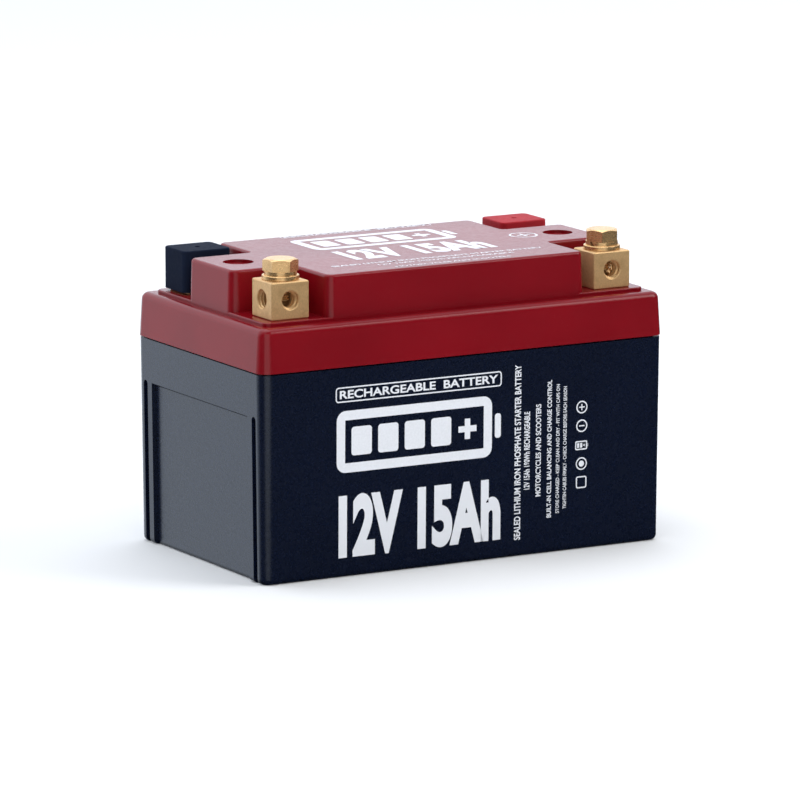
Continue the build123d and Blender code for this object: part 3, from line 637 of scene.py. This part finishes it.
def print_lid():
    """The same print, smaller, on the lid's raised middle."""
    outlines("lid_name_frame", frame_line((-25.4, 33.4, 31.3, 36.4), 0.7, 0.35), LID_TOP)
    words("lid_name", TITLE, (-24.2, 34.1, 30.1, 35.7), LID_TOP, PRINT_WEIGHT)
    battery_mark("lid_mark", (-27, 6.5, 29.6, 28), LID_TOP, MARK_LINE, MARK_BARS)
    words("lid_rating", RATING, (-25, -16, 28, 2), LID_TOP, RATING_WEIGHT)
    words("lid_line_1", KIND_LINE, (-38.5, -24.6, 40, -22.6), LID_TOP, PRINT_WEIGHT)
    words("lid_line_2", RATING_LINE, (-23.7, -28.6, 26.6, -26.8), LID_TOP, PRINT_WEIGHT)
    words("lid_line_3", USE_LINE, (-20.4, -34.2, 22.3, -32.6), LID_TOP, LIGHT_WEIGHT)
    polarity_ring("lid_plus", 47.1, 0.5, LID_TOP, True)


# ---------------------------------------------------------------- stage


def soft_panel(name, place, size, power, colour=(1, 1, 1)):
    light = bpy.data.lights.new(name, "AREA")
    light.shape, light.size, light.energy, light.color = "SQUARE", size, power, colour
    obj = bpy.data.objects.new(name, light)
    bpy.context.scene.collection.objects.link(obj)
    obj.location = place
    obj.rotation_euler = (CAMERA_TARGET - obj.location).to_track_quat("-Z", "Y").to_euler()
    return obj


def stage_disc(name, radius, material, dome=False):
    """A round floor, or with dome the sweep that closes the view above it."""
    rings = [(radius, 0.0)]
    if dome:
        rings = [(radius * math.cos(a), radius * math.sin(a)) for a in (0, 0.35, 0.7, 1.1, 1.5)]
    count = 64
    vertices = [
        (r * math.cos(2 * math.pi * i / count), r * math.sin(2 * math.pi * i / count), z)
        for r, z in rings
        for i in range(count)
    ]
    if dome:
        faces = [
            (ring * count + i, ring * count + (i + 1) % count,
             (ring + 1) * count + (i + 1) % count, (ring + 1) * count + i)
            for ring in range(len(rings) - 1)
            for i in range(count)
        ]
    else:
        faces = [tuple(range(count))]
    mesh = bpy.data.meshes.new(name)
    mesh.from_pydata(vertices, [], faces)
    mesh.materials.append(material)
    obj = bpy.data.objects.new(name, mesh)
    bpy.context.scene.collection.objects.link(obj)
    return obj


def paper(name, colour):
    m = Nodes(name)
    m.set(Base_Color=colour, Roughness=0.9, Specular_IOR_Level=0.0)
    return m.material


def glow(name, colour, strength):
    material = bpy.data.materials.new(name)
    material.use_nodes = True
    tree = material.node_tree
    tree.nodes.clear()
    emission = tree.nodes.new("ShaderNodeEmission")
    emission.inputs["Color"].default_value = (*colour, 1)
    emission.inputs["Strength"].default_value = strength
    tree.links.new(emission.outputs[0], tree.nodes.new("ShaderNodeOutputMaterial").inputs["Surface"])
    return material


def studio_world():
    """Soft surroundings, bright above and behind the battery, dim before its front."""
    world = bpy.data.worlds.new("studio")
    bpy.context.scene.world = world
    world.use_nodes = True
    tree = world.node_tree
    tree.nodes.clear()
    direction = tree.nodes.new("ShaderNodeTexCoord").outputs["Generated"]
    towards = tree.nodes.new("ShaderNodeVectorMath")
    towards.operation = "DOT_PRODUCT"
    towards.inputs[1].default_value = WORLD_BRIGHTEST
    tree.links.new(direction, towards.inputs[0])
    ramp = tree.nodes.new("ShaderNodeMapRange")
    ramp.interpolation_type = "SMOOTHSTEP"
    ramp.inputs["From Min"].default_value = WORLD_RISE[0]
    ramp.inputs["From Max"].default_value = WORLD_RISE[1]
    ramp.inputs["To Min"].default_value = WORLD_DIM
    ramp.inputs["To Max"].default_value = WORLD_BRIGHT
    tree.links.new(towards.outputs["Value"], ramp.inputs["Value"])
    background = tree.nodes.new("ShaderNodeBackground")
    background.inputs["Color"].default_value = (*WORLD_TINT, 1)
    tree.links.new(ramp.outputs["Result"], background.inputs["Strength"])
    tree.links.new(background.outputs[0], tree.nodes.new("ShaderNodeOutputWorld").inputs["Surface"])


def make_stage():
    floor = stage_disc("floor", 6.0, paper("white_paper", (0.86, 0.86, 0.86)))
    floor.visible_glossy = False
    sweep = stage_disc("sweep", 5.9, glow("white_sweep", (1, 1, 1), 1.0), dome=True)
    sweep.visible_glossy = sweep.visible_diffuse = sweep.visible_shadow = False
    studio_world()
    soft_panel("overhead", (0.0, 0.3, 2.4), 2.2, 20)
    soft_panel("key", (1.8, -1.2, 1.6), 1.5, 34)
    soft_panel("fill", (-1.0, -2.1, 0.8), 2.6, 28)


def make_camera():
    lens = bpy.data.cameras.new("camera")
    lens.lens, lens.sensor_width = CAMERA_LENS, CAMERA_SENSOR
    lens.clip_start, lens.clip_end = 0.1, 30
    camera = bpy.data.objects.new("camera", lens)
    bpy.context.scene.collection.objects.link(camera)
    back = Vector((
        math.sin(AZIMUTH) * math.cos(ELEVATION),
        -math.cos(AZIMUTH) * math.cos(ELEVATION),
        math.sin(ELEVATION),
    ))
    camera.location = CAMERA_TARGET + back * CAMERA_DISTANCE
    camera.rotation_mode = "QUATERNION"
    camera.rotation_quaternion = (-back).to_track_quat("-Z", "Y")
    bpy.context.scene.camera = camera


dress_nodes()
cut_threads()
print_front()
print_lid()
make_stage()
make_camera()
bpy.context.scene.view_settings.view_transform = "Standard"
